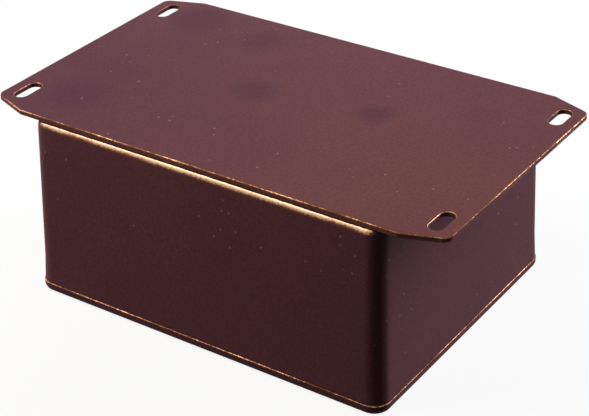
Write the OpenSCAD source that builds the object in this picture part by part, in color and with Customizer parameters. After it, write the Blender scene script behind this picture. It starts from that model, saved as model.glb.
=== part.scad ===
// Flanged die-cast aluminium box: a one-piece casting with drafted walls and a slotted
// mounting flange across its closed end, a lid over its open mouth, and four lid screws.
// Millimetres. The origin is the centre of the lid's outer face, on which the box
// stands. +Z points to the mounting flange and +Y runs along the length.

/* [Casting] */
// Height of the casting, from the lid joint to the mounting face
casting_h = 54.7; // [40:0.1:90]
// Length over the end walls, at the open mouth
mouth_l = 119.5; // [100:0.5:200]
// Width over the long walls, at the open mouth
mouth_w = 93.5; // [75:0.5:160]
// Radius of the upright corners, at the open mouth
mouth_corner_r = 4.9; // [3:0.1:7]
// Radius of the upright corners, at the closed end
back_corner_r = 4.4; // [3.2:0.1:6]
// Slope of the long walls, in degrees
side_draft = 1.9; // [1:0.1:4]
// Slope of the end walls, in degrees
end_draft = 1.9; // [1:0.1:3]
// Height of the thicker rim round the open mouth
rim_h = 8; // [4:0.5:14]
// How far the rim flares out past the slope of the walls, at the mouth
rim_out = 0.2; // [0.1:0.05:0.8]
// Thickness of the four walls
wall_t = 2.3; // [1.8:0.1:3]
// Thickness of the closed end, with the flange
back_t = 2.8; // [2.2:0.1:4]
// Rounding of the edges round the closed end, below the flange
shoulder_r = 2.2; // [1.2:0.1:3]
// Rounding where the walls meet the closed end, inside
root_r = 1.2; // [0.5:0.1:1.4]

/* [Flange] */
// How far each long side of the flange lies inside the face of the wall below it
flange_side_in = 0.55; // [0.3:0.05:1]
// Thickness of the flange
flange_t = 1.8; // [1.5:0.05:2.2]
// Length of each corner cut, along the flange
corner_cut_l = 12.5; // [6:0.5:14]
// Width of each corner cut, across the flange
corner_cut_w = 4.5; // [3:0.1:5]
// Rounding of each corner cut, at the flange's end
end_round_r = 3; // [1.5:0.1:4]
// Rounding of each corner cut, at the flange's side
side_round_r = 1.5; // [1:0.1:3]
// Bevel round the flange's mounting face
flange_bevel = 0.3; // [0.1:0.05:0.5]

/* [Mounting slots] */
// Length of each slot, end to end
slot_l = 10.7; // [6:0.1:14]
// Width of each slot
slot_w = 3.3; // [2.8:0.1:4.5]
// Distance along the length from the end of the mouth out to the centre of a slot
slot_reach = 9.25; // [8:0.05:20]
// Distance across the width from the side of the mouth in to the centre of a slot
slot_side_inset = 13.5; // [12.75:0.25:20]
// Distance from the centre of a slot out to the flange's end
slot_end_inset = 5.8; // [4:0.05:8]

/* [Lid] */
// Thickness of the lid at its edge
lid_t = 3.3; // [3:0.1:5]
// Thickness of the lid's middle panel
lid_panel_t = 2.3; // [1.8:0.1:2.7]
// How far the lid stands out past the mouth all round
lid_out = 0.25; // [0.1:0.05:0.6]
// Rounding of the lid's outer edge
lid_edge_r = 2; // [0.8:0.1:2.4]
// Bevel of the lid's edge at the joint
lid_bevel = 0.2; // [0.1:0.05:0.4]
// Height of the tongue that locates the lid in the mouth
tongue_h = 2; // [1:0.1:4]
// Width of the tongue
tongue_w = 1.8; // [1.2:0.1:3]
// Gap between the tongue and the walls and bosses
tongue_gap = 0.3; // [0.2:0.05:0.6]

/* [Lid screws] */
// Distance from the outside of the mouth to the centre of a screw
screw_inset = 6; // [5.6:0.1:8]
// Radius of the screw bosses in the corners of the casting
boss_r = 4.2; // [3.6:0.1:6]
// Diameter of a screw's shank, at the middle of its thread
shank_d = 3.1; // [2.6:0.1:3.6]
// Diameter of a screw's head
head_d = 6.8; // [6:0.1:7.4]
// Length of a screw, with its countersunk head
screw_l = 12.7; // [10:0.1:20]
// Depth of the heads below the lid's outer face
head_sink = 0.2; // [0.1:0.05:0.5]
// Room all round the shank, in the lid
shank_gap = 0.4; // [0.2:0.05:0.5]
// Room between a screw and the surfaces that it is tightened on
seat_gap = 0.05; // [0.02:0.01:0.1]
// Depth of the tapped hole past the screw's tip
tap_spare = 2.4; // [1:0.1:5]
// Span of the cross recess
recess_span = 3.9; // [3:0.1:4.2]
// Width of the wings of the cross recess
recess_wing = 0.95; // [0.7:0.05:1.2]
// Depth of the cross recess
recess_depth = 1.9; // [1.2:0.1:2.1]

/* [Casting marks] */
// Diameter of the ejector marks, inside
mark_d = 5; // [3:0.5:8]
// Depth of the ejector marks
mark_depth = 0.2; // [0.1:0.05:0.4]
// Distance of the ejector marks from the bosses
mark_inset = 12; // [9:0.5:18]

/* [Hidden] */

$fn = 64;
hull_fn = 32;
cut_over = 1;                    // how far a cut runs past the face that it opens
slab = 0.01;                     // thickness of the flat sections that a hull joins
hollow_margin = 0.3;             // upright corners of the hollow, over its root rounding
countersink_slope = 45;          // half angle of a screw head's cone
tip_bevel = 0.6;                 // bevel at a screw's tip
recess_floor = 0.35;             // how far the recess narrows, as a share of its span
screw_turns = [20, 64, 41, 8];   // how far each cross recess is turned, in degrees

CORNERS = [[-1, -1], [1, -1], [-1, 1], [1, 1]];

wall_h = casting_h - flange_t;

// The closed end stands up into the flange, so that its rounded shoulder comes out at the
// lower edge of the flange's long sides and leaves no groove there.
shoulder_turn = asin(1 - flange_side_in / shoulder_r);
flange_bed = shoulder_r * (1 - cos(shoulder_turn));

slot_x = mouth_w / 2 - slot_side_inset;
slot_y = mouth_l / 2 + slot_reach;
flange_l = 2 * (slot_y + slot_end_inset);
flange_w = width_at(wall_h) - 2 * flange_side_in;
screw_x = mouth_w / 2 - screw_inset;
screw_y = mouth_l / 2 - screw_inset;
lid_l = mouth_l + 2 * lid_out;
lid_w = mouth_w + 2 * lid_out;
tongue_inset = rim_out + wall_t + tongue_gap;
shank_r = shank_d / 2;
head_r = head_d / 2;
head_h = (head_r - shank_r) / tan(countersink_slope);
tap_depth = head_sink + screw_l - lid_t + tap_spare;
boss_reach = screw_inset + wall_h * tan(side_draft);
mark_x = screw_x - mark_inset;
mark_y = screw_y - mark_inset;

// Length and width over the sloping walls, at a height above the mouth
function length_at(z) = mouth_l - 2 * (rim_out + z * tan(end_draft));
function width_at(z) = mouth_w - 2 * (rim_out + z * tan(side_draft));

module at_corners(x, y) {
    for (c = CORNERS) translate([c[0] * x, c[1] * y, 0]) children();
}

// Disc whose upper edge is rounded
module round_edged_disc(r, edge_r) {
    rotate_extrude($fn = hull_fn) {
        square([r - edge_r, edge_r]);
        translate([r - edge_r, 0]) intersection() {
            circle(edge_r, $fn = hull_fn);
            square(edge_r);
        }
    }
}

// Thin section between the sloping walls at a height z, moved outwards by grow, with its
// upright corners of radius r
module section(z, grow, r) {
    translate([0, 0, z])
        at_corners(width_at(z) / 2 + grow - r, length_at(z) / 2 + grow - r)
            cylinder(r = r, h = slab, $fn = hull_fn);
}

// The same section with its upper edge rounded, so that its top lies at z
module round_edged_section(z, grow, r, edge_r) {
    edge_z = z - edge_r;
    translate([0, 0, edge_z])
        at_corners(width_at(edge_z) / 2 + grow - r, length_at(edge_z) / 2 + grow - r)
            round_edged_disc(r, edge_r);
}

// Outside of the walls: the flared rim round the mouth, and the straight slope above it
module outside() {
    rim_r = mouth_corner_r + (back_corner_r - mouth_corner_r) * rim_h / wall_h;
    hull() {
        section(0, rim_out, mouth_corner_r);
        section(rim_h - slab, 0, rim_r);
    }
    hull() {
        section(rim_h - slab, 0, rim_r);
        round_edged_section(wall_h + flange_bed, 0, back_corner_r, shoulder_r);
    }
}

// Outline of the flange, moved inwards by inset
module flange_outline(inset) {
    end_turn = atan(corner_cut_l / corner_cut_w);
    side_turn = 90 - end_turn;
    end_x = flange_w / 2 - corner_cut_w - end_round_r * tan(end_turn / 2);
    side_y = flange_l / 2 - corner_cut_l - side_round_r * tan(side_turn / 2);
    hull() {
        at_corners(end_x, flange_l / 2 - end_round_r)
            circle(end_round_r - inset, $fn = hull_fn);
        at_corners(flange_w / 2 - side_round_r, side_y)
            circle(side_round_r - inset, $fn = hull_fn);
    }
}

// Outline of the screw boss in one corner, grown all round by grow
module boss_outline(corner, grow) {
    r = boss_r + grow;
    translate([corner[0] * screw_x, corner[1] * screw_y]) {
        circle(r);
        mirror([corner[0] < 0 ? 1 : 0, 0]) mirror([0, corner[1] < 0 ? 1 : 0]) {
            translate([0, -r]) square([boss_reach, r + boss_reach]);
            translate([-r, 0]) square([r + boss_reach, boss_reach]);
        }
    }
}

module slot() {
    straight = slot_l - slot_w;
    square([straight, slot_w], center = true);
    for (s = [-1, 1]) translate([s * straight / 2, 0]) circle(d = slot_w);
}

// Hollow between the walls, round the four screw bosses
module cavity() {
    hollow_r = root_r + hollow_margin;
    ceiling_z = casting_h - back_t;
    difference() {
        hull() {
            section(-cut_over, -wall_t, hollow_r);
            round_edged_section(ceiling_z, -wall_t, hollow_r, root_r);
        }
        for (c = CORNERS)
            translate([0, 0, -2 * cut_over])
                linear_extrude(casting_h + 2 * cut_over) boss_outline(c, 0);
    }
    translate([0, 0, ceiling_z - cut_over])
        at_corners(mark_x, mark_y) cylinder(d = mark_d, h = cut_over + mark_depth);
}

module flange() {
    difference() {
        hull() {
            linear_extrude(flange_t - flange_bevel) flange_outline(0);
            linear_extrude(flange_t) flange_outline(flange_bevel);
        }
        translate([0, 0, -cut_over]) linear_extrude(flange_t + 2 * cut_over)
            at_corners(slot_x, slot_y) slot();
    }
}

module tapped_hole() {
    r = shank_r + seat_gap;
    translate([0, 0, -cut_over]) cylinder(r = r, h = tap_depth + cut_over);
    translate([0, 0, tap_depth]) cylinder(r1 = r, r2 = 0, h = r / 2);
}

module box_body() {
    color([0.44, 0.28, 0.27]) translate([0, 0, lid_t]) difference() {
        union() {
            outside();
            translate([0, 0, wall_h]) flange();
        }
        cavity();
        at_corners(screw_x, screw_y) tapped_hole();
    }
}

// Plate of the lid, with its outer edge rounded and a bevel at the joint
module lid_plate() {
    r = mouth_corner_r + lid_out;
    x = lid_w / 2 - r;
    y = lid_l / 2 - r;
    hull() {
        translate([0, 0, lid_edge_r]) mirror([0, 0, 1])
            at_corners(x, y) round_edged_disc(r, lid_edge_r);
        at_corners(x, y) translate([0, 0, lid_edge_r])
            cylinder(r = r, h = lid_t - lid_bevel - lid_edge_r, $fn = hull_fn);
        at_corners(x, y) translate([0, 0, lid_edge_r])
            cylinder(r = r - lid_bevel, h = lid_t - lid_edge_r, $fn = hull_fn);
    }
}

// Outline inside the walls at the mouth, moved inwards by inset
module mouth_outline(inset) {
    square([mouth_w - 2 * inset, mouth_l - 2 * inset], center = true);
}

module tongue() {
    linear_extrude(tongue_h) difference() {
        mouth_outline(tongue_inset);
        mouth_outline(tongue_inset + tongue_w);
        for (c = CORNERS) boss_outline(c, tongue_gap);
    }
}

// Shallow recess that thins the lid inside the tongue, clear of the screw bosses
module lid_recess() {
    linear_extrude(lid_t) difference() {
        mouth_outline(tongue_inset + tongue_w);
        for (c = CORNERS) boss_outline(c, tongue_gap + tongue_w);
    }
}

module screw_hole() {
    r = head_r + seat_gap;
    sink = head_sink + (r - shank_r) / tan(countersink_slope);
    translate([0, 0, -cut_over]) cylinder(r = r, h = cut_over + head_sink);
    translate([0, 0, head_sink]) cylinder(r1 = r, r2 = shank_r, h = sink - head_sink);
    translate([0, 0, -cut_over]) cylinder(r = shank_r + shank_gap, h = lid_t + 2 * cut_over);
}

module lid() {
    color([0.38, 0.25, 0.24]) difference() {
        union() {
            lid_plate();
            translate([0, 0, lid_t]) tongue();
        }
        translate([0, 0, lid_panel_t]) lid_recess();
        at_corners(screw_x, screw_y) screw_hole();
        translate([0, 0, lid_panel_t - mark_depth])
            at_corners(mark_x, mark_y) cylinder(d = mark_d, h = cut_over);
    }
}

// Cross recess, narrowing towards its floor
module cross_recess() {
    floor_r = recess_span * recess_floor / 2;
    intersection() {
        translate([0, 0, -cut_over])
            cylinder(r1 = recess_span / 2, r2 = floor_r, h = recess_depth + cut_over);
        for (turn = [0, 90]) rotate(turn)
            translate([-recess_span, -recess_wing / 2, -cut_over])
                cube([2 * recess_span, recess_wing, 2 * cut_over + recess_depth]);
    }
}

module lid_screw(index) {
    corner = CORNERS[index];
    color([0.62, 0.6, 0.58])
        translate([corner[0] * screw_x, corner[1] * screw_y, head_sink])
        rotate(screw_turns[index]) difference() {
            union() {
                cylinder(r1 = head_r, r2 = shank_r, h = head_h);
                cylinder(r = shank_r, h = screw_l - tip_bevel);
                translate([0, 0, screw_l - tip_bevel])
                    cylinder(r1 = shank_r, r2 = shank_r - tip_bevel, h = tip_bevel);
            }
            cross_recess();
        }
}

box_body();
lid();
lid_screw(0);  // lid_screw_front_left
lid_screw(1);  // lid_screw_front_right
lid_screw(2);  // lid_screw_back_left
lid_screw(3);  // lid_screw_back_right
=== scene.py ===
"""Dressed model of the flanged die-cast box: casting, lid, lid screws and the studio."""

import math

import bmesh
import bpy
from mathutils import Matrix, Vector
from mathutils.geometry import tessellate_polygon


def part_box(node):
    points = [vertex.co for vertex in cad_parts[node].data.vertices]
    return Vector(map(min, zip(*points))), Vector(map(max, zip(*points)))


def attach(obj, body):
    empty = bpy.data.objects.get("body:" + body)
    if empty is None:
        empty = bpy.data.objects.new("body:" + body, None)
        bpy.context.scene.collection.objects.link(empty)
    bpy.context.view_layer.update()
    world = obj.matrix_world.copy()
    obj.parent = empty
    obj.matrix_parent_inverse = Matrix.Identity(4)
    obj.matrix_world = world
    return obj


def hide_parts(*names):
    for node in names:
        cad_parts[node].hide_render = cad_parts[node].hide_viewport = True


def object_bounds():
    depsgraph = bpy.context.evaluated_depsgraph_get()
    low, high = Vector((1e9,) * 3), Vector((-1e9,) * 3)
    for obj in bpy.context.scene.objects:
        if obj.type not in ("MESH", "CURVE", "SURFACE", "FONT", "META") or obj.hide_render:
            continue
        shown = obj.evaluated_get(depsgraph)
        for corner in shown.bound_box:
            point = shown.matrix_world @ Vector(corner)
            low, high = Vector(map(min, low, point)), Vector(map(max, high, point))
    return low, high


bl_info = {
    "name": "Flanged Die-Cast Box",
    "version": (1, 0, 0),
    "blender": (4, 5, 0),
    "location": "View3D > Sidebar > Cast Box",
    "description": "Builds a flanged die-cast box with its lid, lid screws and worn bronze finish",
    "category": "Add Mesh",
}

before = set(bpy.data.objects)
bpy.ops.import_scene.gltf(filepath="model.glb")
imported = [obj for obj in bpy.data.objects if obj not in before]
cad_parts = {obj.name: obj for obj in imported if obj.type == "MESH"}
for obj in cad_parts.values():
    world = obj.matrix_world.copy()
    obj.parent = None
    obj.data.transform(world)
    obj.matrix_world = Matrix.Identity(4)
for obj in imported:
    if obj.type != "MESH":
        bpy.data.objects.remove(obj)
CAD_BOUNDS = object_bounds()

MM = 0.001
QUARTER = 90.0
HALF = 180.0
WELD = 1e-6
GUARD = 1.0 * MM  # strip beside a rounded edge that keeps its shading off a large face
HIGHLIGHT_FADE = 3.0 * MM  # length over which the shoulder's painted highlight dies away at its ends, where the corners begin
FLANGE_FADE = (6.0 * MM, 16.0 * MM)  # the same for the flange's edge, short of and past its ends
ARC_STEPS = 10
EDGE_STEPS = 4
ROUND_STEPS = 48
SHOULDER_HIGHLIGHT = 0.12  # painted highlight along the shoulder, drawn as bare metal: this share at the shoulder's foot, full at its top
WORN_FLANGE = 0.2  # wear on the flange's side
WORN_EDGE = 0.28  # what its rounding adds
WORN_SLOT = 0.45
WORN_LID = 0.48
HOLE_BEVEL = 0.3 * MM  # at the mouth of a tapped hole
TAP_SPARE = 2.4 * MM  # depth of a tapped hole past the screw's tip
SINK_BEVEL = 0.15 * MM  # at the mouth of a countersink in the lid
SINK_RIM = 0.5 * MM  # flat ring kept round it
FLANGE_PROBE = 1.7 * MM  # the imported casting's points this close to its top are the flange's
HEAD_BEVEL = 0.12 * MM
RECESS_FOOT = (0.36, 0.8)  # the cross recess's span and wing at its foot, as shares
NEAR_PAINTED_LIGHT = (1.20, 1.20, 0.95)  # painted light: the mounting face lighter and warmer at its -Y end, against the coat
FAR_PAINTED_LIGHT = (0.80, 0.80, 0.88)  # and darker and cooler at its +Y end
PAINTED_LIGHT_BAND = (0.5 * MM, 0.1 * MM)  # depth below that face where the painted light starts and is full
PAINTED_LIGHT_ENDS = (-10.0 * MM, 50.0 * MM)  # where along X the painted light starts to fade and is gone
STAINS = (  # x, y and radius in millimetres, and strength
    (33.0, 56.0, 15.0, 0.7), (30.5, 31.0, 11.0, 0.45), (-28.5, 55.0, 15.0, 0.8),
    (0.5, 12.5, 11.0, 0.65), (7.0, -24.0, 8.0, 0.7), (22.0, -51.0, 9.0, 0.2))
STAIN_RAGGED = 0.8  # how uneven a stain's rim is, as a share of its radius
STAIN_CORE = 0.2  # share of its radius within which a stain is full
COAT_TONE = (0.70, 0.62)  # the fine tone's darkest shade and its range
SPECKS_SHOW = 0.6  # how strongly the specks show
RUBBED_SHOWS = 0.7  # and the rubbed coat, which along the shoulder is the fringe of its painted highlight
COAT_ROUGH = (0.46, 0.10)  # the coat's roughness and what the grain adds to it
WORN_SMOOTHER = 0.14  # what full wear takes off that
WORN_LOWER = 0.6  # and off the height of the grain
COAT_RELIEF = 0.05 * MM
COAT_SHEEN = 0.04  # the coat hardly reflects beside its own colour
STEEL_ROUGH = (0.28, 0.16)
STEEL_RELIEF = 0.02 * MM
WHITE = (1.0, 1.0, 1.0, 1.0)
FLOAT = "NodeSocketFloat"
FLOOR_SEEN = 0.12  # the floor's own shade in view, which carries the shadow
FLOOR_GLOW = 0.89  # what lifts it to white
FLOOR_GAP = 0.1 * MM  # between the box and the floor
SHARP = 32.0  # angle in degrees from which an edge stays sharp
BODY = "root"
SCREW_NODES = ("lid_screw_front_left", "lid_screw_front_right",
               "lid_screw_back_left", "lid_screw_back_right")
SCREW_TURNS = (20.0, 64.0, 41.0, 8.0)  # how far each is turned, in degrees
SCREW_COLUMNS = 32
SCREW_ROWS = 128
SCREW_SIZES = ("Shank radius", "Thread depth", "Pitch", "Shank start", "Shank length",
               "Tip bevel")


# ---- Settings ----

def length(name, description, millimetres):
    """A size that the user can change, kept in metres."""
    return bpy.props.FloatProperty(name=name, description=description, unit="LENGTH",
                                   subtype="DISTANCE", precision=4, default=millimetres * MM)


def colour(name, description, value):
    """A colour that the user can change."""
    return bpy.props.FloatVectorProperty(name=name, description=description, subtype="COLOR",
                                         size=3, min=0.0, max=1.0, default=value)


def factor(name, description, value):
    """A share from 0 to 1 that the user can change."""
    return bpy.props.FloatProperty(name=name, description=description, min=0.0, max=1.0,
                                   subtype="FACTOR", default=value)


def number(name, description, value):
    """A plain number with no limits."""
    return bpy.props.FloatProperty(name=name, description=description, default=value)


class CastingSettings(bpy.types.PropertyGroup):
    """Sizes of the one-piece casting."""
    corner_r: length("Mouth corner", "Radius of the upright corners at the mouth", 4.9)
    back_corner_r: length("Back corner", "Radius of the corners at the closed end", 4.4)
    rim_h: length("Rim height", "Height of the thicker rim round the mouth", 8.0)
    rim_out: length("Rim flare", "How far the rim flares past the slope of the walls", 0.2)
    wall_t: length("Wall", "Thickness of the walls", 2.3)
    back_t: length("Closed end", "Thickness of the closed end with the flange", 2.8)
    shoulder_r: length("Shoulder", "Rounding of the edges below the flange", 2.2)
    shoulder_in: length("Shoulder step", "How far the flange's sides lie inside the walls", 0.55)
    root_r: length("Root", "Rounding where the walls meet the closed end, inside", 1.2)
    shoulder_drop: length("Shoulder drop", "From the mounting face down to the shoulder", 2.05)
    neck_in: length("Neck", "Depth of the neck between the shoulder and the flange", 0.25)
    flange_t: length("Flange", "Thickness of the flange", 1.4)
    flange_edge_r: length("Flange edge", "Rounding round the flange's mounting face", 0.34)
    cut_l: length("Corner cut length", "Length of each corner cut, along the flange", 12.5)
    cut_w: length("Corner cut width", "Width of each corner cut, across the flange", 4.5)
    end_r: length("Cut end", "Rounding of each corner cut at the flange's end", 3.0)
    side_r: length("Cut side", "Rounding of each corner cut at the flange's side", 1.5)
    slot_l: length("Slot length", "Length of each mounting slot, end to end", 10.0)
    slot_w: length("Slot width", "Width of each mounting slot", 4.3)
    slot_edge_r: length("Slot edge", "Rounding of the slots' upper edges", 0.3)
    slot_side_in: length("Slot side inset", "From the mouth's side in to a slot's centre", 13.5)
    slot_end_in: length("Slot end inset", "From a slot's centre out to the flange's end", 5.8)
    boss_r: length("Boss", "Radius of the screw bosses", 4.2)
    fillet_r: length("Boss fillet", "Fillet between the bosses and the walls", 0.8)
    mark_d: length("Ejector mark", "Diameter of the ejector marks inside", 5.0)
    mark_depth: length("Mark depth", "Depth of the ejector marks", 0.2)
    mark_inset: length("Mark inset", "Distance of the ejector marks from the bosses", 12.0)


class LidSettings(bpy.types.PropertyGroup):
    """Sizes of the lid."""
    thick: length("Lid edge", "Thickness of the lid at its edge", 3.3)
    panel_t: length("Lid panel", "Thickness of the lid's middle panel", 2.3)
    corner_r: length("Lid corner", "Radius of the lid's corners", 5.15)
    edge_r: length("Outer edge", "Rounding of the lid's outer edge", 2.0)
    joint_r: length("Joint edge", "Rounding of the lid's edge at the joint", 0.3)
    tongue_h: length("Tongue height", "Height of the tongue that locates the lid", 2.0)
    tongue_w: length("Tongue width", "Width of the tongue", 1.8)
    tongue_in: length("Tongue inset", "From the side of the mouth in to the tongue", 2.8)
    tongue_gap: length("Tongue gap", "Gap between the tongue and the bosses", 0.3)
    hole_gap: length("Screw room", "Room round a screw's shank in the lid", 0.4)
    seat_gap: length("Seat room", "Room between a screw's head and its seat", 0.05)
    head_sink: length("Head sink", "Depth of the heads below the lid's face", 0.2)


class ScrewSettings(bpy.types.PropertyGroup):
    """Sizes of the lid screws."""
    head_r: length("Head radius", "Radius of a screw's head", 3.4)
    shank_r: length("Shank radius", "Radius of a shank at the middle of its thread", 1.55)
    thread_depth: length("Thread depth", "Depth of the thread, crest to root", 0.42)
    pitch: length("Pitch", "Distance from one thread to the next", 0.7)
    tip_bevel: length("Tip bevel", "Bevel at a screw's tip", 0.6)
    recess_span: length("Recess span", "Span of the cross recess", 3.9)
    recess_wing: length("Recess wing", "Width of the wings of the cross recess", 0.95)
    recess_depth: length("Recess depth", "Depth of the cross recess", 1.9)


class FinishSettings(bpy.types.PropertyGroup):
    """Colours and wear of the finish."""
    coat: colour("Coat", "Dark bronze coat of the casting", (0.145, 0.053, 0.064))
    coat_deep: colour("Coat, deep", "Darker and cooler patches of the coat", (0.132, 0.048, 0.061))
    # Painted shade: a darker copy of the coat, standing in for the shade on the lid's side
    lid_shaded_coat: colour("Lid coat", "Coat of the lid, a little darker", (0.105, 0.040, 0.047))
    # Painted highlight: this and the bare-metal colour below show worn metal, and along the
    # shoulder they also paint its highlight
    bare_deep_and_dim_highlight: colour("Bare metal, deep", "Bare metal near the rim of a worn place",
                      (0.36, 0.18, 0.09))
    stain: colour("Stain", "Handling stains on the flange", (0.086, 0.031, 0.051))
    bare_and_highlight: colour("Bare metal", "Warm metal that shows where the coat is worn", (0.66, 0.44, 0.30))
    # Also the reddish fringe of the shoulder's painted highlight
    rubbed_coat_and_highlight_fringe: colour("Rubbed coat", "Reddish coat round the worn places", (0.235, 0.085, 0.038))
    speck: colour("Specks", "Dust and pinholes in the coat", (0.42, 0.27, 0.22))
    steel: colour("Screw steel", "Plated steel of the lid screws", (0.56, 0.55, 0.53))
    steel_dull: colour("Dull steel", "Duller patches of the screws", (0.33, 0.31, 0.29))
    grain: factor("Grain", "Strength of the cast grain", 0.35)
    # Also sets how much of the shoulder's painted highlight shows
    wear_and_highlight: factor("Wear", "How far the edges are worn", 0.62)


class StageSettings(bpy.types.PropertyGroup):
    """Camera and light."""
    camera_at: bpy.props.FloatVectorProperty(
        name="Camera", description="Place of the camera", subtype="TRANSLATION", unit="LENGTH",
        default=(-0.348711, -0.240800, 0.273932))
    azimuth: number("Azimuth", "Turn of the camera round the box, in degrees", -55.5244)
    elevation: number("Elevation", "Height above the horizon, in degrees", 30.6083)
    roll: number("Roll", "Turn of the camera about its own axis, in degrees", -1.0626)
    lens: number("Lens", "Focal length, in millimetres", 101.846)
    sensor: number("Sensor", "Width of the sensor, in millimetres", 36.0)
    floor: colour("Floor", "Colour of the floor", (0.06, 0.06, 0.06))
    ambient: colour("Room light", "Soft light from the room", (0.004, 0.004, 0.005))
    floor_size: length("Floor size", "Side of the floor", 6000.0)


SETTINGS = {
    "cast_box_casting": CastingSettings,
    "cast_box_lid": LidSettings,
    "cast_box_screws": ScrewSettings,
    "cast_box_finish": FinishSettings,
    "cast_box_stage": StageSettings,
}


# ---- Outlines ----
# Lists of arcs (centre x, centre y, radius, start, sweep), in degrees. The angles
# are those of the outward normal, and a hollow arc has a negative radius and sweep.

def mirrored(quadrant):
    """Full outline from the arcs of its +X +Y quadrant, anticlockwise."""
    left = [(-x, y, r, HALF - start - sweep, sweep)
            for x, y, r, start, sweep in reversed(quadrant)]
    half = list(quadrant) + left
    return half + [(-x, -y, r, start + HALF, sweep) for x, y, r, start, sweep in half]


def rounded_box(half_x, half_y, r):
    """Rectangle with rounded corners."""
    return mirrored([(half_x - r, half_y - r, r, 0.0, QUARTER)])


def trace(outline, inset=0.0, guard=GUARD, steps=ARC_STEPS):
    """Points along an outline moved inwards by inset, with a guard point each side of an arc."""
    points = []
    for x, y, r, start, sweep in outline:
        count = steps if sweep else 0
        for i in range(count + 1):
            angle = math.radians(start + (sweep * i / count if count else 0.0))
            out = Vector((math.cos(angle), math.sin(angle)))
            point = Vector((x, y)) + (r - inset) * out
            along = Vector((-out.y, out.x)) * guard
            if count and guard and i == 0:
                points.append(point - along)
            points.append(point)
            if count and guard and i == count:
                points.append(point + along)
    return points


def circle(x, y, r, steps=ROUND_STEPS):
    """Points of a circle."""
    turns = [math.tau * i / steps for i in range(steps)]
    return [Vector((x + r * math.cos(turn), y + r * math.sin(turn))) for turn in turns]


def moved(points, x, y):
    """The same points, moved."""
    return [point + Vector((x, y)) for point in points]


# ---- Skins: closed meshes made of rings of points joined by bands and flat caps ----

def place_object(name, data):
    """A new object in the scene."""
    made = bpy.data.objects.new(name, data)
    bpy.context.scene.collection.objects.link(made)
    return made


class Skin:
    """Collects the rings, bands and caps of one closed mesh, with the wear of each point, which
    along the shoulder paints a highlight.
    """

    def __init__(self):
        self.bm = bmesh.new()
        self.worn = self.bm.verts.layers.float.new("wear_and_highlight")

    def ring(self, points, z, wear_and_highlight=0.0, fade_y=None):
        """Adds a level ring of points; past fade_y, a pair of distances, the wear and painted
        highlight fade out.
        """
        made = [self.bm.verts.new((p.x, p.y, z)) for p in points]
        for vert in made:
            share = 1.0
            if fade_y:
                share = min(1.0, max(0.0, (fade_y[1] - abs(vert.co.y)) / (fade_y[1] - fade_y[0])))
            vert[self.worn] = wear_and_highlight * share
        return made

    def band(self, lower, upper, closed=True):
        """Joins two rings by a strip of faces."""
        count = len(lower)
        for i in range(count if closed else count - 1):
            j = (i + 1) % count
            self.bm.faces.new((lower[i], lower[j], upper[j], upper[i]))

    def stack(self, rings):
        """Joins a list of rings, each to the next."""
        for lower, upper in zip(rings, rings[1:]):
            self.band(lower, upper)
        return rings

    def cap(self, outer, holes=()):
        """Fills a level ring, round its holes."""
        loops = [outer, *holes]
        verts = [vert for loop in loops for vert in loop]
        for tri in tessellate_polygon([[vert.co for vert in loop] for loop in loops]):
            corners = [verts[i] for i in tri]
            if len(set(corners)) == 3 and not self.bm.faces.get(corners):
                self.bm.faces.new(corners)

    def tip(self, ring, z):
        """Closes a ring with a point at a height z."""
        centre = sum((vert.co for vert in ring), Vector()) / len(ring)
        point = self.bm.verts.new((centre.x, centre.y, z))
        for i, vert in enumerate(ring):
            self.bm.faces.new((vert, ring[(i + 1) % len(ring)], point))

    def mesh(self, name):
        """Turns the skin into a mesh."""
        mesh = bpy.data.meshes.new(name)
        self.bm.to_mesh(mesh)
        self.bm.free()
        return mesh

    def finish(self, name, material):
        """Turns the skin into a closed object with its faces outwards."""
        bmesh.ops.remove_doubles(self.bm, verts=self.bm.verts, dist=WELD)
        bmesh.ops.dissolve_degenerate(self.bm, edges=self.bm.edges, dist=WELD)
        bmesh.ops.recalc_face_normals(self.bm, faces=self.bm.faces)
        open_edges = [edge for edge in self.bm.edges if len(edge.link_faces) != 2]
        if open_edges:
            at = open_edges[0].verts[0].co
            raise RuntimeError(f"{name}: {len(open_edges)} open edges, one at {tuple(at)}")
        smooth_faces(self.bm)
        mesh = self.mesh(name)
        mesh.materials.append(material)
        return place_object(name, mesh)


def smooth_faces(bm):
    """Smooth faces, apart from at the sharp edges."""
    for face in bm.faces:
        face.smooth = True
    for edge in bm.edges:
        edge.smooth = edge.calc_face_angle(0.0) < math.radians(SHARP)


def rounded_levels(z, r, toward, steps=EDGE_STEPS):
    """Heights and insets of a rounded edge that starts on an upright face, r below z."""
    levels = []
    for i in range(steps + 1):
        angle = math.radians(QUARTER * i / steps)
        levels.append((z - toward * r * (1 - math.sin(angle)), r * (1 - math.cos(angle)),
                       math.sin(2 * angle)))
    return levels


def corner_places(x, y):
    """The four corners of a rectangle."""
    return [(sx * x, sy * y) for sx, sy in ((-1, -1), (1, -1), (-1, 1), (1, 1))]


# ---- Casting ----

def flange_outline(s, half_x, half_y):
    """Outline of the flange, a rectangle with cut and rounded corners."""
    end_turn = math.atan2(s.cut_l, s.cut_w)
    side_turn = math.radians(QUARTER) - end_turn
    side_y = half_y - s.cut_l - s.side_r * math.tan(side_turn / 2)
    end_x = half_x - s.cut_w - s.end_r * math.tan(end_turn / 2)
    return mirrored([
        (half_x - s.side_r, side_y, s.side_r, 0.0, math.degrees(side_turn)),
        (end_x, half_y - s.end_r, s.end_r, math.degrees(side_turn), math.degrees(end_turn)),
    ])


def hollow_outline(s, half_x, half_y, screw, boss_r):
    """Outline of a hollow that runs round the four screw bosses."""
    x, y = screw
    f = s.fillet_r
    return mirrored([
        (half_x - f, y - boss_r - f, f, 0.0, QUARTER),
        (x, y, -boss_r, QUARTER, -QUARTER),
        (x - boss_r - f, half_y - f, f, 0.0, QUARTER),
    ])


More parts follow.
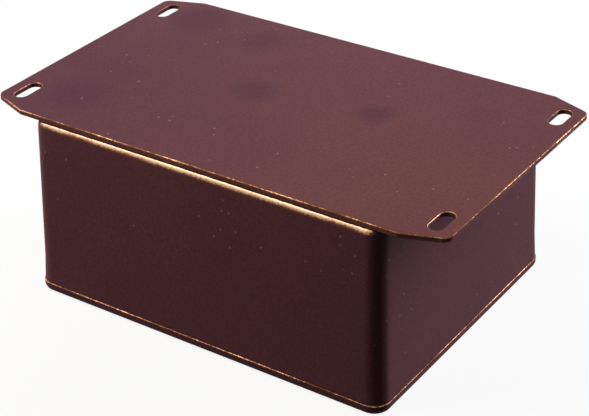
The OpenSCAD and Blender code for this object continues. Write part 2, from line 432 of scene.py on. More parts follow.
def add_slots(skin, s, places, low_z, top_z):
    """Cuts the slots' walls and returns their rings on the upper and lower faces."""
    upper, lower = [], []
    r = s.slot_w / 2
    straight = s.slot_l / 2 - r
    outline = [(straight, 0.0, r, -QUARTER, HALF), (-straight, 0.0, r, QUARTER, HALF)]
    levels = [(low_z, 0.0, 0.0), (top_z - s.slot_edge_r - 0.3 * GUARD, 0.0, 0.0)]
    levels += rounded_levels(top_z, s.slot_edge_r, 1)
    levels.append((top_z, s.slot_edge_r + 0.6 * GUARD, 0.0))
    for x, y in places:
        rings = skin.stack([
            skin.ring(moved(trace(outline, -out, 0.5 * GUARD), x, y), z, WORN_SLOT * worn)
            for z, out, worn in levels])
        upper.append(rings[-1])
        lower.append(rings[0])
    return upper, lower


def add_marks(skin, s, face_z, deep_z):
    """Ejector marks near the bosses; returns their rings on the face."""
    x, y = screw_place()
    rings = []
    for place in corner_places(x - s.mark_inset, y - s.mark_inset):
        mark = [skin.ring(circle(*place, s.mark_d / 2), z) for z in (face_z, deep_z)]
        skin.band(*mark)
        skin.cap(mark[1])
        rings.append(mark[0])
    return rings


def build_casting(s, lid, material):
    """The one-piece casting: walls, shoulder, slotted flange, hollow, bosses and holes."""
    low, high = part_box("box_body")
    screw = screw_place()
    joint_z, top_z = low.z, high.z
    under_z = top_z - s.shoulder_drop
    mouth_x, mouth_y = mouth_place()
    draft = wall_slope(s)
    wall_top = under_z - joint_z
    neck_in = s.rim_out + wall_top * draft + s.shoulder_in
    neck_r = s.back_corner_r - s.shoulder_in
    turn_end = math.acos(1 - s.shoulder_in / s.shoulder_r)
    straight_y = mouth_y - neck_in - neck_r - GUARD
    skin = Skin()

    def wall(z, inset, r, worn=0.0, fade=None):
        """Ring round the outside of the walls, inset from the mouth's size."""
        outline = rounded_box(mouth_x - inset, mouth_y - inset, r)
        return skin.ring(trace(outline), z, worn, fade)

    # The walls, from the joint up to the flange
    rings = [wall(z, inset, s.corner_r - inset, worn)
             for z, inset, worn in reversed(rounded_levels(joint_z, lid.joint_r, -1))]
    rim_in = s.rim_out + s.rim_h * draft
    rim_r = s.corner_r + (s.back_corner_r - s.corner_r) * s.rim_h / wall_top
    shoulder_z = under_z - s.shoulder_r * math.sin(turn_end)
    z = shoulder_z - GUARD
    rings += [wall(joint_z + GUARD, GUARD * (s.rim_out / s.rim_h + draft), s.corner_r),
              wall(joint_z + s.rim_h, rim_in, rim_r),
              wall(z, s.rim_out + (z - joint_z) * draft, s.back_corner_r)]
    # The shoulder: its values paint a highlight in bare-metal colour, weak at its foot and full at
    # its top, fading out where the corners begin; the lamps' reflection on it is real
    steps = 2 * EDGE_STEPS
    for i in range(steps + 1):
        angle = turn_end * i / steps
        out = s.shoulder_r * (math.cos(angle) - math.cos(turn_end))
        rings.append(wall(under_z - s.shoulder_r * (math.sin(turn_end) - math.sin(angle)),
                          neck_in - out, neck_r + out,
                          SHOULDER_HIGHLIGHT + (1.0 - SHOULDER_HIGHLIGHT) * i / steps,
                          (straight_y + GUARD, straight_y + GUARD + HIGHLIGHT_FADE)))
    for z in (under_z + s.neck_in, top_z - s.flange_t):
        rings.append(wall(z, neck_in + s.neck_in, neck_r - s.neck_in))
    skin.stack(rings)
    mouth_ring, neck_ring = rings[0], rings[-1]

    # The flange, with its slots
    outline = flange_outline(s, mouth_x - neck_in, high.y)
    under_z = top_z - s.flange_t
    rings = [skin.ring(trace(outline), under_z, WORN_FLANGE)]
    for z, inset, worn in rounded_levels(top_z, s.flange_edge_r, 1):
        rings.append(skin.ring(trace(outline, inset), z, WORN_FLANGE + WORN_EDGE * worn,
                               (high.y - FLANGE_FADE[0], high.y + FLANGE_FADE[1])))
    rings.append(skin.ring(trace(outline, s.flange_edge_r + 0.6 * GUARD), top_z))
    skin.stack(rings)
    slots = corner_places(mouth_x - s.slot_side_in, high.y - s.slot_end_in)
    upper, lower = add_slots(skin, s, slots, under_z, top_z)
    skin.cap(rings[-1], upper)
    skin.cap(rings[0], [neck_ring, *lower])

    # The hollow, with its ceiling and ejector marks
    ceiling_z = top_z - s.back_t
    rings = []
    heights = [joint_z + (ceiling_z - s.root_r - joint_z) * i / 4 for i in range(5)]
    levels = [(z, 0.0, 0.0) for z in heights] + rounded_levels(ceiling_z, s.root_r, 1)[1:]
    for z, inset, _ in levels:
        inset += s.rim_out + s.wall_t + (min(z, heights[-1]) - joint_z) * draft
        outline = hollow_outline(s, mouth_x - inset, mouth_y - inset, screw, s.boss_r)
        rings.append(skin.ring(trace(outline, guard=0.0), z))
    skin.stack(rings)
    hollow_ring = rings[0]
    skin.cap(rings[-1], add_marks(skin, s, ceiling_z, ceiling_z + s.mark_depth))

    # The tapped holes, and the face at the joint
    holes = []
    screws = bpy.context.scene.cast_box_screws
    hole_r = screws.shank_r + lid.seat_gap
    tip_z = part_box(SCREW_NODES[0])[1].z + TAP_SPARE
    for x, y in corner_places(*screw):
        bore = skin.stack([skin.ring(circle(x, y, r), z) for r, z in (
            (hole_r + HOLE_BEVEL, joint_z), (hole_r, joint_z + HOLE_BEVEL), (hole_r, tip_z))])
        skin.tip(bore[-1], tip_z + hole_r / 2)
        holes.append(bore[0])
    skin.cap(mouth_ring, [hollow_ring, *holes])
    return skin.finish("die_cast_box", material)


def wall_slope(s):
    """Slope of the walls, from the mouth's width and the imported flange's."""
    low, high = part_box("box_body")
    flange_x = max(vert.co.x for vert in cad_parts["box_body"].data.vertices
                   if vert.co.z > high.z - FLANGE_PROBE)
    wall_top = high.z - s.shoulder_drop - low.z
    return (high.x - s.rim_out - s.shoulder_in - flange_x) / wall_top


def screw_place():
    """Distance of the lid screws from the middle, along X and Y."""
    low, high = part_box(SCREW_NODES[-1])
    return ((low.x + high.x) / 2, (low.y + high.y) / 2)


def mouth_place():
    """Distance of the outside of the mouth from the middle, along X and Y."""
    x, y = screw_place()
    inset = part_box("box_body")[1].x - x
    return x + inset, y + inset


# ---- Lid ----

def build_lid(s, casting, material):
    """The lid: rounded plate, countersunk holes, locating tongue and shallow pocket."""
    low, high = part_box("lid")
    half_x, half_y = high.x, high.y
    screw = screw_place()
    skin = Skin()
    outline = rounded_box(half_x, half_y, s.corner_r)
    face_z, joint_z = low.z, low.z + s.thick
    rings = [skin.ring(trace(outline, s.edge_r + GUARD), face_z)]
    for z, inset, _ in reversed(rounded_levels(face_z, s.edge_r, -1, 2 * EDGE_STEPS)):
        rings.append(skin.ring(trace(outline, inset), z))
    rings.append(skin.ring(trace(outline), joint_z - s.joint_r - 0.3 * GUARD))
    for z, inset, worn in rounded_levels(joint_z, s.joint_r, 1):
        rings.append(skin.ring(trace(outline, inset), z, WORN_LID * worn))
    skin.stack(rings)
    face_ring, joint_ring = rings[0], rings[-1]

    # Countersunk screw holes
    screws = bpy.context.scene.cast_box_screws
    head_r = screws.head_r + s.seat_gap
    hole_r = screws.shank_r + s.hole_gap
    sink_z = face_z + s.head_sink
    face_holes, joint_holes = [], []
    for x, y in corner_places(*screw):
        wall = [skin.ring(circle(x, y, r), z, worn) for r, z, worn in (
            (head_r + SINK_RIM, face_z, 0.0), (head_r + SINK_BEVEL, face_z, 0.6),
            (head_r, face_z + SINK_BEVEL, 0.8), (head_r, sink_z, 0.2),
            (hole_r, sink_z + head_r - hole_r, 0.0), (hole_r, joint_z, 0.0))]
        skin.stack(wall)
        face_holes.append(wall[0])
        joint_holes.append(wall[-1])
    skin.cap(face_ring, face_holes)

    # Tongue along each side, round a pocket that is clear of the bosses
    mouth_x, mouth_y = mouth_place()
    outer_x, outer_y = mouth_x - s.tongue_in, mouth_y - s.tongue_in
    inner_x, inner_y = outer_x - s.tongue_w, outer_y - s.tongue_w
    end_r = casting.boss_r + s.tongue_gap
    land_r = end_r + s.tongue_w
    pocket_z, tongue_z = face_z + s.panel_t, joint_z + s.tongue_h
    x, y = screw
    hollow = (x, y, -land_r, QUARTER, -QUARTER)
    foot = (x - land_r, inner_y, 0.0, QUARTER, 0.0)
    pocket = mirrored([(inner_x, y - land_r, 0.0, 0.0, 0.0), hollow, foot])
    land = mirrored([
        (outer_x, y - end_r, 0.0, 0.0, 0.0), (inner_x, y - end_r, 0.0, QUARTER, 0.0),
        (inner_x, y - land_r, 0.0, QUARTER, 0.0), hollow, foot,
        (x - end_r, inner_y, 0.0, 0.0, 0.0), (x - end_r, outer_y, 0.0, QUARTER, 0.0),
    ])
    land_ring = skin.ring(trace(land, guard=0.0), joint_z)
    skin.cap(joint_ring, [land_ring, *joint_holes])
    floor_ring = skin.ring(trace(pocket, guard=0.0), pocket_z)
    skin.cap(floor_ring, add_marks(skin, casting, pocket_z, pocket_z - casting.mark_depth))
    for sx, sy in ((1, 1), (-1, 1), (-1, -1), (1, -1)):
        run = [Vector((p.x * sx, p.y * sy)) for p in trace(pocket[:3], guard=0.0)]
        skin.band(skin.ring(run, pocket_z), skin.ring(run, joint_z), closed=False)
    for outer, inner, end, land_end, swap in (
            (outer_x, inner_x, y - end_r, y - land_r, False),
            (outer_y, inner_y, x - end_r, x - land_r, True)):
        for side in (1, -1):
            add_tongue(skin, outer * side, inner * side, end, land_end, swap,
                       (pocket_z, joint_z, tongue_z))
    return skin.finish("box_lid", material)


def add_tongue(skin, outer, inner, end, land_end, swap, heights):
    """One bar of the tongue, whose inner face runs down into the pocket."""
    pocket_z, joint_z, tongue_z = heights

    def vert(across, along, z):
        place = (along, across, z) if swap else (across, along, z)
        return skin.bm.verts.new(place)

    for across, runs in ((outer, False), (inner, True)):
        corners = [(-end, joint_z), (end, joint_z), (end, tongue_z), (-end, tongue_z)]
        if runs:
            corners[1:1] = [(-land_end, joint_z), (-land_end, pocket_z),
                            (land_end, pocket_z), (land_end, joint_z)]
        skin.bm.faces.new([vert(across, along, z) for along, z in corners])
    for along in (end, -end):
        skin.bm.faces.new([vert(outer, along, joint_z), vert(outer, along, tongue_z),
                           vert(inner, along, tongue_z), vert(inner, along, joint_z)])
    skin.bm.faces.new([vert(outer, -end, tongue_z), vert(outer, end, tongue_z),
                       vert(inner, end, tongue_z), vert(inner, -end, tongue_z)])


# ---- Node helpers ----

def new_group(name, kind, inputs, outputs):
    """New node group: its tree, its inputs and its end. A socket is a name, type and default."""
    group = bpy.data.node_groups.new(name, kind)
    for sockets, in_out in ((inputs, "INPUT"), (outputs, "OUTPUT")):
        for label, socket_type, *default in sockets:
            socket = group.interface.new_socket(label, in_out=in_out, socket_type=socket_type)
            if default:
                socket.default_value = default[0]
    start = group.nodes.new("NodeGroupInput")
    return Tree(group), start.outputs, group.nodes.new("NodeGroupOutput")


class Tree:
    """Short ways to add nodes and links to a node tree."""

    def __init__(self, tree):
        self.tree = tree

    def node(self, kind, values=(), **attributes):
        """Adds a node; values are pairs of a socket and what it is set to."""
        made = self.tree.nodes.new(kind)
        for name, value in attributes.items():
            setattr(made, name, value)
        for socket, value in values:
            self.set(made.inputs[socket], value)
        return made

    def set(self, socket, value):
        """Links a node or one of its outputs to a socket, or sets a plain value."""
        if isinstance(value, bpy.types.Node):
            value = value.outputs[0]
        if isinstance(value, bpy.types.NodeSocket):
            self.tree.links.new(value, socket)
        else:
            socket.default_value = value

    def fill(self, node, **values):
        """Sets a node's inputs by name, with underscores for spaces."""
        for name, value in values.items():
            self.set(node.inputs[name.replace("_", " ")], value)

    def math(self, operation, *values):
        """Math node."""
        return self.node("ShaderNodeMath", enumerate(values), operation=operation).outputs[0]

    def add(self, first, second):
        """Sum."""
        return self.math("ADD", first, second)

    def take(self, first, second):
        """The first less the second."""
        return self.math("SUBTRACT", first, second)

    def times(self, first, second):
        """Product."""
        return self.math("MULTIPLY", first, second)

    def vector(self, **parts):
        """Vector from its parts, such as Z=height."""
        return self.node("ShaderNodeCombineXYZ", parts.items()).outputs[0]

    def reach(self, first, second=(0.0, 0.0, 0.0)):
        """Distance between two places."""
        return self.node("ShaderNodeVectorMath", ((0, first), (1, second)),
                         operation="DISTANCE").outputs["Value"]

    def surface(self, shader, owner="Material"):
        """Ends a material or world with a shader."""
        self.node("ShaderNodeOutput" + owner, (("Surface", shader),))

    def smooth(self, value, low, high):
        """Smooth step from 0 at low to 1 at high."""
        made = self.node("ShaderNodeMapRange", ((0, value), (1, low), (2, high)),
                         interpolation_type="SMOOTHSTEP")
        return made.outputs[0]

    def mix(self, amount, first, second, blend="MIX"):
        """Colour mix."""
        made = self.node("ShaderNodeMix", ((0, amount), (6, first), (7, second)),
                         data_type="RGBA", blend_type=blend)
        return made.outputs[2]

    def noise(self, place, scale, detail=2.0, roughness=0.5):
        """Noise value at a place."""
        made = self.node("ShaderNodeTexNoise",
                         (("Vector", place), ("Scale", scale), ("Detail", detail),
                          ("Roughness", roughness)))
        return made.outputs["Fac"]


def rgba(value):
    """Colour with full alpha."""
    return (*value, 1.0)


def empty_tree(owner):
    """Clears the nodes of a material or world and returns its tree."""
    owner.use_nodes = True
    owner.node_tree.nodes.clear()
    return Tree(owner.node_tree)


# ---- Shared effects ----

def grain_group():
    """Cast grain: fine bumps, broad mottling and scattered specks."""
    t, given, end = new_group(
        "Cast grain", "ShaderNodeTree",
        (("Grain scale", FLOAT, 900.0), ("Mottle scale", FLOAT, 28.0),
         ("Speck scale", FLOAT, 330.0), ("Speck share", FLOAT, 0.24)),
        (("Height", FLOAT), ("Mottle", FLOAT), ("Specks", FLOAT), ("Tone", FLOAT)))
    place = t.node("ShaderNodeTexCoord").outputs["Object"]
    fine = t.noise(place, given["Grain scale"], 3.0, 0.6)
    broad = t.noise(place, given["Mottle scale"], 3.0, 0.55)
    tone = t.noise(place, t.times(given["Grain scale"], 1.3), 2.0, 0.6)
    cells = t.node("ShaderNodeTexVoronoi", (("Vector", place), ("Randomness", 1.0),
                                            ("Scale", given["Speck scale"])))
    dot = t.take(1.0, t.smooth(cells.outputs["Distance"], 0.04, 0.15))
    pick = t.node("ShaderNodeSeparateColor", ((0, cells.outputs["Color"]),)).outputs[0]
    # The specks gather where the mottling is strong
    gathered = t.times(t.smooth(broad, 0.40, 0.66), 2.4)
    chosen = t.math("LESS_THAN", pick, t.times(given["Speck share"], gathered))
    t.fill(end, Height=fine, Mottle=t.smooth(broad, 0.35, 0.68),
           Specks=t.times(dot, chosen), Tone=tone)
    return t.tree


def wear_and_highlight_group():
    """Edge wear and the shoulder's painted highlight: the mesh's values broken up by noise, with a
    ragged rim.
    """
    t, given, end = new_group(
        "Edge wear and highlight", "ShaderNodeTree",
        (("Amount", FLOAT, 0.6), ("Break-up", FLOAT, 0.8), ("Scale", FLOAT, 1400.0)),
        (("Mask", FLOAT), ("Rim", FLOAT), ("Depth", FLOAT)))
    place = t.node("ShaderNodeTexCoord").outputs["Object"]
    worn = t.node("ShaderNodeAttribute", attribute_name="wear_and_highlight").outputs["Fac"]
    ragged = t.noise(place, given["Scale"], 3.0, 0.65)
    patchy = t.noise(place, t.times(given["Scale"], 0.06), 2.0, 0.5)
    rough = t.times(t.take(ragged, 0.5), given["Break-up"])
    slow = t.times(t.take(patchy, 0.5), given["Break-up"])
    level = t.add(t.add(worn, rough), slow)
    edge = t.take(1.0, given["Amount"])
    mask = t.smooth(level, t.take(edge, 0.14), t.add(edge, 0.26))
    t.fill(end, Mask=t.times(mask, t.smooth(worn, 0.0, 0.1)),
           Rim=t.smooth(worn, 0.02, 0.36), Depth=t.smooth(level, 0.35, 1.0))
    return t.tree


def use_group(t, group, **values):
    """Places a group in a tree and sets its inputs by name."""
    made = t.node("ShaderNodeGroup")
    made.node_tree = group
    t.fill(made, **values)
    return made.outputs


def stain_mask(t, place):
    """Soft irregular patches at chosen places on the mounting face."""
    face_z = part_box("box_body")[1].z
    ragged = t.take(t.noise(place, 60.0, 3.0, 0.6), 0.5)
    total = 0.0
    for x, y, radius, strength in STAINS:
        r = radius * MM
        away = t.add(t.reach(place, (x * MM, y * MM, face_z)),
                     t.times(ragged, STAIN_RAGGED * r))
        patch = t.times(t.take(1.0, t.smooth(away, STAIN_CORE * r, r)), strength)
        total = t.math("MAXIMUM", total, patch)
    return total


def face_painted_light(t, place):
    """The mounting face's painted light, lighter and warmer towards -Y: its share at a place, and
    the tint there.
    """
    spot = t.node("ShaderNodeSeparateXYZ", ((0, place),)).outputs
    low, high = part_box("box_body")
    on_face = t.smooth(spot["Z"], high.z - PAINTED_LIGHT_BAND[0], high.z - PAINTED_LIGHT_BAND[1])
    along = t.smooth(spot["Y"], low.y, high.y)
    across = t.take(1.0, t.smooth(spot["X"], *PAINTED_LIGHT_ENDS))
    return t.times(on_face, across), t.mix(along, rgba(NEAR_PAINTED_LIGHT), rgba(FAR_PAINTED_LIGHT))


def end_material(t, base, metallic, rough, bump, more=()):
    """Ends a material with its surface; bump is its strength, depth and height."""
    normal = t.node("ShaderNodeBump", zip(("Strength", "Distance", "Height"), bump))
    t.surface(t.node("ShaderNodeBsdfPrincipled", (
        ("Base Color", base), ("Metallic", metallic), ("Roughness", rough),
        ("Normal", normal), *more)))


def coat_material(name, groups, s, coats, stained_and_lit=False):
    """Dark bronze coat over cast metal, worn through to bare metal at the edges, where the
    bare-metal colour also paints the shoulder's highlight; when stained, the mounting face gets
    stains and painted light.
    """
    t = empty_tree(bpy.data.materials.new(name))
    place = t.node("ShaderNodeTexCoord").outputs["Object"]
    grain = use_group(t, groups["grain"])
    wear_and_highlight = use_group(t, groups["wear_and_highlight"], Amount=s.wear_and_highlight)
    coat = t.mix(grain["Mottle"], rgba(coats[0]), rgba(coats[1]))
    if stained_and_lit:
        # Painted light: the mounting face made lighter and warmer towards -Y, darker and cooler
        # towards +Y; the stains after it are real
        share, tint = face_painted_light(t, place)
        coat = t.mix(share, coat, t.mix(1.0, coat, tint, "MULTIPLY"))
        coat = t.mix(stain_mask(t, place), coat, rgba(s.stain))
    tone = t.add(COAT_TONE[0], t.times(grain["Tone"], COAT_TONE[1]))
    grey = t.node("ShaderNodeCombineColor", enumerate([tone] * 3)).outputs[0]
    coat = t.mix(1.0, coat, grey, "MULTIPLY")
    coat = t.mix(t.times(grain["Specks"], SPECKS_SHOW), coat, rgba(s.speck))
    coat = t.mix(t.times(wear_and_highlight["Rim"], RUBBED_SHOWS), coat, rgba(s.rubbed_coat_and_highlight_fringe))
    # Bare metal where worn; along the shoulder this paints its highlight
    metal = t.mix(wear_and_highlight["Depth"], rgba(s.bare_deep_and_dim_highlight), rgba(s.bare_and_highlight))
    colour_out = t.mix(wear_and_highlight["Mask"], coat, metal)
    rough = t.add(COAT_ROUGH[0], t.times(grain["Height"], COAT_ROUGH[1]))
    rough = t.take(rough, t.times(wear_and_highlight["Mask"], WORN_SMOOTHER))
    height = t.add(grain["Height"], t.times(grain["Mottle"], 0.5))
    height = t.take(height, t.times(wear_and_highlight["Mask"], WORN_LOWER))
    end_material(t, colour_out, wear_and_highlight["Mask"], rough, (s.grain, COAT_RELIEF, height),
                 (("Specular IOR Level", COAT_SHEEN), ("IOR", 1.45)))


def steel_material(groups, s):
    """Bright plated steel of the screws."""
    t = empty_tree(bpy.data.materials.new("screw_steel"))
    grain = use_group(t, groups["grain"], Grain_scale=1600.0, Mottle_scale=240.0,
                      Speck_share=0.0)
    dull = t.mix(t.times(grain["Mottle"], 0.35), rgba(s.steel), rgba(s.steel_dull))
    rough = t.add(STEEL_ROUGH[0], t.times(grain["Height"], STEEL_ROUGH[1]))
    end_material(t, dull, 1.0, rough, (0.15, STEEL_RELIEF, grain["Height"]))


def finishes():
    """The shared groups and the materials, made once."""
    if "box_coat" not in bpy.data.materials:
        s = bpy.context.scene.cast_box_finish
        groups = {"grain": grain_group(), "wear_and_highlight": wear_and_highlight_group()}
        coat_material("box_coat", groups, s, (s.coat, s.coat_deep), stained_and_lit=True)
        # Painted shade: the lid gets a darker copy of the coat
        coat_material("lid_shaded_coat", groups, s, (s.lid_shaded_coat, s.coat_deep))
        steel_material(groups, s)
    return bpy.data.materials


# ---- Lid screws ----

def build_screw_head(s):
    """A countersunk head with a cross recess, outer face at height 0 and shank side open."""
    skin = Skin()

    def cross(span, wing):
        """Outline of the recess."""
        half, reach, f = wing / 2, span / 2, 0.12 * wing
        return trace(mirrored([(reach - f, half - f, f, 0.0, QUARTER),
                               (half + f, half + f, -f, QUARTER, -QUARTER),
                               (half - f, reach - f, f, 0.0, QUARTER)]), guard=0.0, steps=3)

    shank_start = HEAD_BEVEL + s.head_r - s.shank_r
    side = skin.stack([skin.ring(circle(0.0, 0.0, r, SCREW_COLUMNS), z) for r, z in (
        (s.head_r - HEAD_BEVEL, 0.0), (s.head_r, HEAD_BEVEL), (s.head_r, 2 * HEAD_BEVEL),
        (s.shank_r, shank_start))])
    recess = skin.stack([skin.ring(cross(span, wing), z) for span, wing, z in (
        (s.recess_span, s.recess_wing, 0.0),
        (RECESS_FOOT[0] * s.recess_span, RECESS_FOOT[1] * s.recess_wing, s.recess_depth))])
    skin.cap(side[0], [recess[0]])
    skin.cap(recess[1])
    bmesh.ops.recalc_face_normals(skin.bm, faces=skin.bm.faces)
    return place_object("screw_head", skin.mesh("screw_head")), shank_start


def screw_tree():
    """Puts a threaded screw on each point, turned by the point's own turn."""
    t, given, end = new_group(
        "Lid screws", "GeometryNodeTree",
        (("Geometry", "NodeSocketGeometry"), ("Head", "NodeSocketObject"),
         *((name, FLOAT) for name in SCREW_SIZES), ("Material", "NodeSocketMaterial")),
        (("Geometry", "NodeSocketGeometry"),))
    shank_r, depth, pitch, shank_start, shank_l, bevel = (given[name] for name in SCREW_SIZES)
    shank = t.node("GeometryNodeMeshCylinder",
                   (("Vertices", SCREW_COLUMNS), ("Side Segments", SCREW_ROWS),
                    ("Radius", shank_r), ("Depth", shank_l)),
                   fill_type="TRIANGLE_FAN")
    lift = t.add(shank_start, t.times(shank_l, 0.5))
    raised = t.node("GeometryNodeSetPosition",
                    (("Geometry", shank.outputs["Mesh"]), ("Offset", t.vector(Z=lift))))
    here = t.node("GeometryNodeInputPosition")
    spot = t.node("ShaderNodeSeparateXYZ", ((0, here),)).outputs
    turn = t.math("DIVIDE", t.math("ARCTAN2", spot["Y"], spot["X"]), math.tau)
    along = t.take(spot["Z"], shank_start)
    phase = t.math("FRACT", t.take(t.math("DIVIDE", along, pitch), turn))
    ridge = t.take(t.times(t.math("ABSOLUTE", t.take(phase, 0.5)), 2.0), 0.5)
    left = t.take(shank_l, along)
    run_in = t.smooth(along, 0.0, pitch)
    run_out = t.smooth(left, t.times(pitch, 0.5), bevel)
    cut = t.times(t.times(ridge, depth), t.times(run_in, run_out))
    taper = t.take(bevel, t.math("MINIMUM", left, bevel))
    radius = t.add(shank_r, t.take(cut, taper))
    across = t.vector(X=spot["X"], Y=spot["Y"])
    reach = t.reach(across)
    share = t.math("DIVIDE", radius, t.math("MAXIMUM", reach, 1e-9))
    scaled = t.node("ShaderNodeVectorMath", ((0, across), ("Scale", share)), operation="SCALE")
    placed = t.node("ShaderNodeVectorMath",
                    ((0, scaled), (1, t.vector(Z=spot["Z"]))), operation="ADD")
    on_side = t.math("GREATER_THAN", reach, t.times(shank_r, 0.5))
    cut_shank = t.node("GeometryNodeSetPosition",
                       (("Geometry", raised), ("Selection", on_side),
                        ("Position", placed)))
    head = t.node("GeometryNodeObjectInfo", (("Object", given["Head"]),))
    joined = t.node("GeometryNodeJoinGeometry")
    t.set(joined.inputs[0], cut_shank)
    t.set(joined.inputs[0], head.outputs["Geometry"])
    own_turn = t.node("GeometryNodeInputNamedAttribute", (("Name", "turn"),), data_type="FLOAT")
    rotation = t.vector(Z=own_turn.outputs["Attribute"])
    placed_all = t.node("GeometryNodeInstanceOnPoints",
                        (("Points", given["Geometry"]), ("Instance", joined)))
    t.set(placed_all.inputs["Rotation"],
          t.node("FunctionNodeEulerToRotation", ((0, rotation),)))
    real = t.node("GeometryNodeRealizeInstances", (("Geometry", placed_all),))
    dressed = t.node("GeometryNodeSetMaterial",
                     (("Geometry", real), ("Material", given["Material"])))
    t.set(end.inputs["Geometry"], dressed)
    return t.tree


def build_screws(s, material):
    """The four lid screws as one mesh."""
    head, shank_start = build_screw_head(s)
    boxes = [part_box(node) for node in SCREW_NODES]
    mesh = bpy.data.meshes.new("lid_screws")
    mesh.from_pydata([((low.x + high.x) / 2, (low.y + high.y) / 2, low.z)
                      for low, high in boxes], [], [])
    turned = mesh.attributes.new("turn", "FLOAT", "POINT")
    turned.data.foreach_set("value", [math.radians(turn) for turn in SCREW_TURNS])
    holder = place_object("lid_screw_points", mesh)
    tree = screw_tree()
    modifier = holder.modifiers.new("Lid screws", "NODES")
    modifier.node_group = tree
    low, high = boxes[0]
    values = {"Head": head, "Material": material, **dict(zip(SCREW_SIZES, (
        s.shank_r, s.thread_depth, s.pitch, shank_start, high.z - low.z - shank_start,
        s.tip_bevel)))}
    for item in tree.interface.items_tree:
        if item.name in values and item.in_out == "INPUT":
            modifier[item.identifier] = values[item.name]
    baked = bpy.data.meshes.new_from_object(
        holder.evaluated_get(bpy.context.evaluated_depsgraph_get()))
    for spare in (holder, head):
        bpy.data.objects.remove(spare)
    bm = bmesh.new()
    bm.from_mesh(baked)
    # The shank's own end inside the head goes, and the head's edge is sewn to its side
    inner = [face for face in bm.faces
             if all(abs(vert.co.z - low.z - shank_start) < 10 * WELD for vert in face.verts)]
    bmesh.ops.delete(bm, geom=inner, context="FACES")
    bmesh.ops.remove_doubles(bm, verts=bm.verts, dist=20 * WELD)
    bmesh.ops.delete(bm, geom=[v for v in bm.verts if not v.link_faces], context="VERTS")
    bmesh.ops.recalc_face_normals(bm, faces=bm.faces)
    if any(len(edge.link_faces) != 2 for edge in bm.edges):
        raise RuntimeError("the lid screws are not closed")
    smooth_faces(bm)
    bm.to_mesh(baked)
    bm.free()
    baked.name = "lid_screws"
    return place_object("lid_screws", baked)


# ---- Studio ----

LAMPS = (
    # name, azimuth and height in degrees, distance, diameter, light on the box, colour
    ("key_lamp", 122.0, 50.0, 0.55, 0.24, 0.41, (1.0, 0.90, 0.66)),
    ("back_lamp", 104.0, 16.3, 0.50, 0.36, 0.40, (0.72, 0.70, 1.0)),
    ("right_lamp", 333.0, 20.0, 0.74, 0.50, 1.34, (0.90, 0.90, 1.0)),
    ("edge_lamp", 139.0, 50.0, 0.55, 0.16, 0.20, (1.0, 0.95, 0.86)),
    ("far_lamp", 40.0, 25.0, 0.45, 0.40, 0.10, (0.80, 0.78, 1.0)),
)


def seen_by_camera(t):
    """1 for rays that show the background: from the camera, or off gloss and through glass."""
    path = t.node("ShaderNodeLightPath").outputs
    return t.math("MAXIMUM", path["Is Camera Ray"],
                  t.math("MAXIMUM", path["Is Glossy Ray"], path["Is Transmission Ray"]))


def build_floor(s):
    """A pale floor that keeps the box's shadow and can be looked through from below."""
    side = s.floor_size / 2
    mesh = bpy.data.meshes.new("floor")
    z = -FLOOR_GAP
    mesh.from_pydata([(-side, -side, z), (side, -side, z), (side, side, z), (-side, side, z)],
                     [], [(0, 1, 2, 3)])
    material = bpy.data.materials.new("pale_floor")
    t = empty_tree(material)
    seen = seen_by_camera(t)
    shade = t.mix(seen, rgba(s.floor), rgba((FLOOR_SEEN,) * 3))
    diffuse = t.node("ShaderNodeBsdfDiffuse", (("Color", shade),))
    glow = t.node("ShaderNodeEmission", (("Color", WHITE),
                                         ("Strength", t.times(seen, FLOOR_GLOW))))
    both = t.node("ShaderNodeAddShader", enumerate((diffuse, glow)))
    clear = t.node("ShaderNodeBsdfTransparent")
    below = t.node("ShaderNodeNewGeometry").outputs["Backfacing"]
    t.surface(t.node("ShaderNodeMixShader", enumerate((below, both, clear))))
    mesh.materials.append(material)
    floor = place_object("floor", mesh)


def build_world(s):
    """A dim room whose walls show white behind the box."""
    world = bpy.data.worlds.new("studio")
    t = empty_tree(world)
    room = t.node("ShaderNodeBackground", (("Color", rgba(s.ambient)), ("Strength", 1.0)))
    white = t.node("ShaderNodeBackground", (("Color", WHITE), ("Strength", 1.0)))
    both = t.node("ShaderNodeMixShader", enumerate((seen_by_camera(t), room, white)))
    t.surface(both, "World")
    bpy.context.scene.world = world


def build_lamps():
    """Soft lamps round the box, aimed at its middle."""
    low, high = CAD_BOUNDS
    aim = (Vector(low) + Vector(high)) / 2
    for name, azimuth, height, distance, size, level, tint in LAMPS:
        lamp = bpy.data.lights.new(name, "AREA")
        lamp.shape = "DISK"
        lamp.size = size
        lamp.energy = level * (math.pi * distance) ** 2
        lamp.color = tint
        holder = place_object(name, lamp)
        turn, lift = math.radians(azimuth), math.radians(height)
        away = Vector((math.cos(turn) * math.cos(lift), math.sin(turn) * math.cos(lift),
                       math.sin(lift)))
        holder.location = aim + away * distance
        holder.visible_camera = False
        holder.rotation_euler = away.to_track_quat("Z", "Y").to_euler()


def build_camera(s):
    """The camera, from its place, its angles and its lens."""
    camera = bpy.data.cameras.new("camera")
    camera.lens = s.lens
    camera.sensor_width = s.sensor
    camera.clip_start, camera.clip_end = 0.01, 100.0
    holder = place_object("camera", camera)
    azimuth, elevation = math.radians(s.azimuth), math.radians(s.elevation)
    turn = Matrix.Rotation(azimuth, 3, "Z") @ Matrix.Rotation(math.pi / 2 - elevation, 3, "X")
    turn = turn @ Matrix.Rotation(math.radians(s.roll), 3, "Z")
    holder.rotation_euler = turn.to_euler()
    holder.location = s.camera_at
    bpy.context.scene.camera = holder


# ---- Operators and panel ----

class CASTBOX_OT_stage(bpy.types.Operator):
    """Set up the camera, the lamps, the room and the floor"""
    bl_idname = "cast_box.stage"
    bl_label = "Studio"

    def execute(self, context):
        s = context.scene.cast_box_stage
        build_camera(s)
        build_lamps()
        build_world(s)
        build_floor(s)
        context.scene.view_settings.view_transform = "Standard"
        return {"FINISHED"}


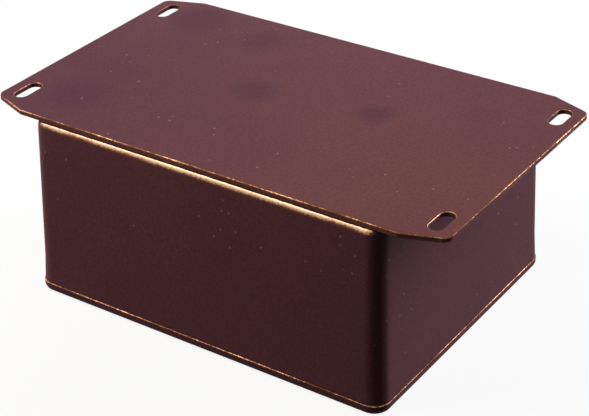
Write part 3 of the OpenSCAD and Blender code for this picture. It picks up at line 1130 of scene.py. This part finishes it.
class CASTBOX_OT_casting(bpy.types.Operator):
    """Build the casting with its slotted flange"""
    bl_idname = "cast_box.casting"
    bl_label = "Casting"

    def execute(self, context):
        scene = context.scene
        piece = build_casting(scene.cast_box_casting, scene.cast_box_lid, finishes()["box_coat"])
        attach(piece, BODY)
        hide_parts("box_body")
        return {"FINISHED"}


class CASTBOX_OT_lid(bpy.types.Operator):
    """Build the lid with its tongue and countersunk holes"""
    bl_idname = "cast_box.lid"
    bl_label = "Lid"

    def execute(self, context):
        scene = context.scene
        piece = build_lid(scene.cast_box_lid, scene.cast_box_casting, finishes()["lid_shaded_coat"])
        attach(piece, BODY)
        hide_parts("lid")
        return {"FINISHED"}


class CASTBOX_OT_screws(bpy.types.Operator):
    """Build the four lid screws"""
    bl_idname = "cast_box.screws"
    bl_label = "Lid Screws"

    def execute(self, context):
        piece = build_screws(context.scene.cast_box_screws, finishes()["screw_steel"])
        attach(piece, BODY)
        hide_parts(*SCREW_NODES)
        return {"FINISHED"}


class CASTBOX_PT_panel(bpy.types.Panel):
    """Lists the steps and the settings"""
    bl_label = "Cast Box"
    bl_space_type = "VIEW_3D"
    bl_region_type = "UI"
    bl_category = "Cast Box"

    def draw(self, context):
        for operator in OPERATORS:
            self.layout.operator(operator.bl_idname)
        for name, group in SETTINGS.items():
            box = self.layout.box()
            for prop in group.__annotations__:
                box.prop(getattr(context.scene, name), prop)


OPERATORS = (CASTBOX_OT_stage, CASTBOX_OT_casting, CASTBOX_OT_lid, CASTBOX_OT_screws)
CLASSES = (*SETTINGS.values(), *OPERATORS, CASTBOX_PT_panel)


def register():
    for item in CLASSES:
        bpy.utils.register_class(item)
    for name, group in SETTINGS.items():
        setattr(bpy.types.Scene, name, bpy.props.PointerProperty(type=group))


def unregister():
    for name in SETTINGS:
        delattr(bpy.types.Scene, name)
    for item in reversed(CLASSES):
        bpy.utils.unregister_class(item)


def main():
    register()
    for operator in OPERATORS:
        area, name = operator.bl_idname.split(".")
        getattr(getattr(bpy.ops, area), name)()


if __name__ == "__main__":
    main()
